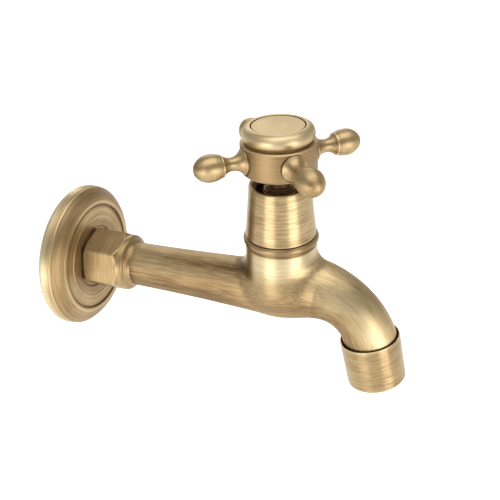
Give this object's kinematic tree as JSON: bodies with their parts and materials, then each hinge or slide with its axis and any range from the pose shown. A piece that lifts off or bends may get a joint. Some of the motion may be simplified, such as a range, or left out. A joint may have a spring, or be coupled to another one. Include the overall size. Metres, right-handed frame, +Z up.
{
  "type": "wall-mounted garden tap",
  "caption": "Wall-mounted garden tap with a cross handle, tapered bonnet, round wall flange and downturned spout.",
  "frame": {"origin": "centre of the inlet thread on the wall plane", "axes": "+X out of the wall along the barrel, +Z up along the handle's axis, +Y to the left seen from the wall"},
  "size_m": [0.1639, 0.063, 0.1094],
  "materials": {
    "body_brass": "brushed antique",
    "flange_brass": "brushed antique",
    "sleeve_brass": "brushed antique",
    "handle_brass": "brushed antique",
    "knob_brass": "brushed antique",
    "outlet_brass": "brushed antique",
    "raw_brass": "turned",
    "ceramic": "glazed",
    "rubber": "moulded",
    "steel": "bright",
    "insert_plastic": "moulded"
  },
  "bodies": {
    "tap": {"tap_body": "body_brass", "wall_flange": "flange_brass", "bonnet_sleeve": "sleeve_brass", "headwork_body": "raw_brass", "headwork_oring": "rubber", "seat_seal": "rubber", "fixed_disc": "ceramic", "outlet_collar": "outlet_brass", "aerator_washer": "rubber", "aerator_insert": "insert_plastic", "aerator_screen": "steel"},
    "handle": {"spindle": "raw_brass", "moving_disc": "ceramic", "spindle_oring_lower": "rubber", "spindle_oring_upper": "rubber", "slip_washer": "insert_plastic", "circlip": "steel", "handle_hub": "handle_brass", "arm_1": "knob_brass", "arm_2": "knob_brass", "arm_3": "knob_brass", "arm_4": "knob_brass", "cap_ring": "handle_brass", "index_disc": "handle_brass", "handle_screw": "steel", "spring_washer": "steel"}
  },
  "joints": [
    {"name": "handle_turn", "type": "hinge", "parent": "tap", "child": "handle", "pos_m": [0.0997, 0, 0.0601], "axis": [0, 0, 1], "range_deg": [0, 90]}
  ]
}
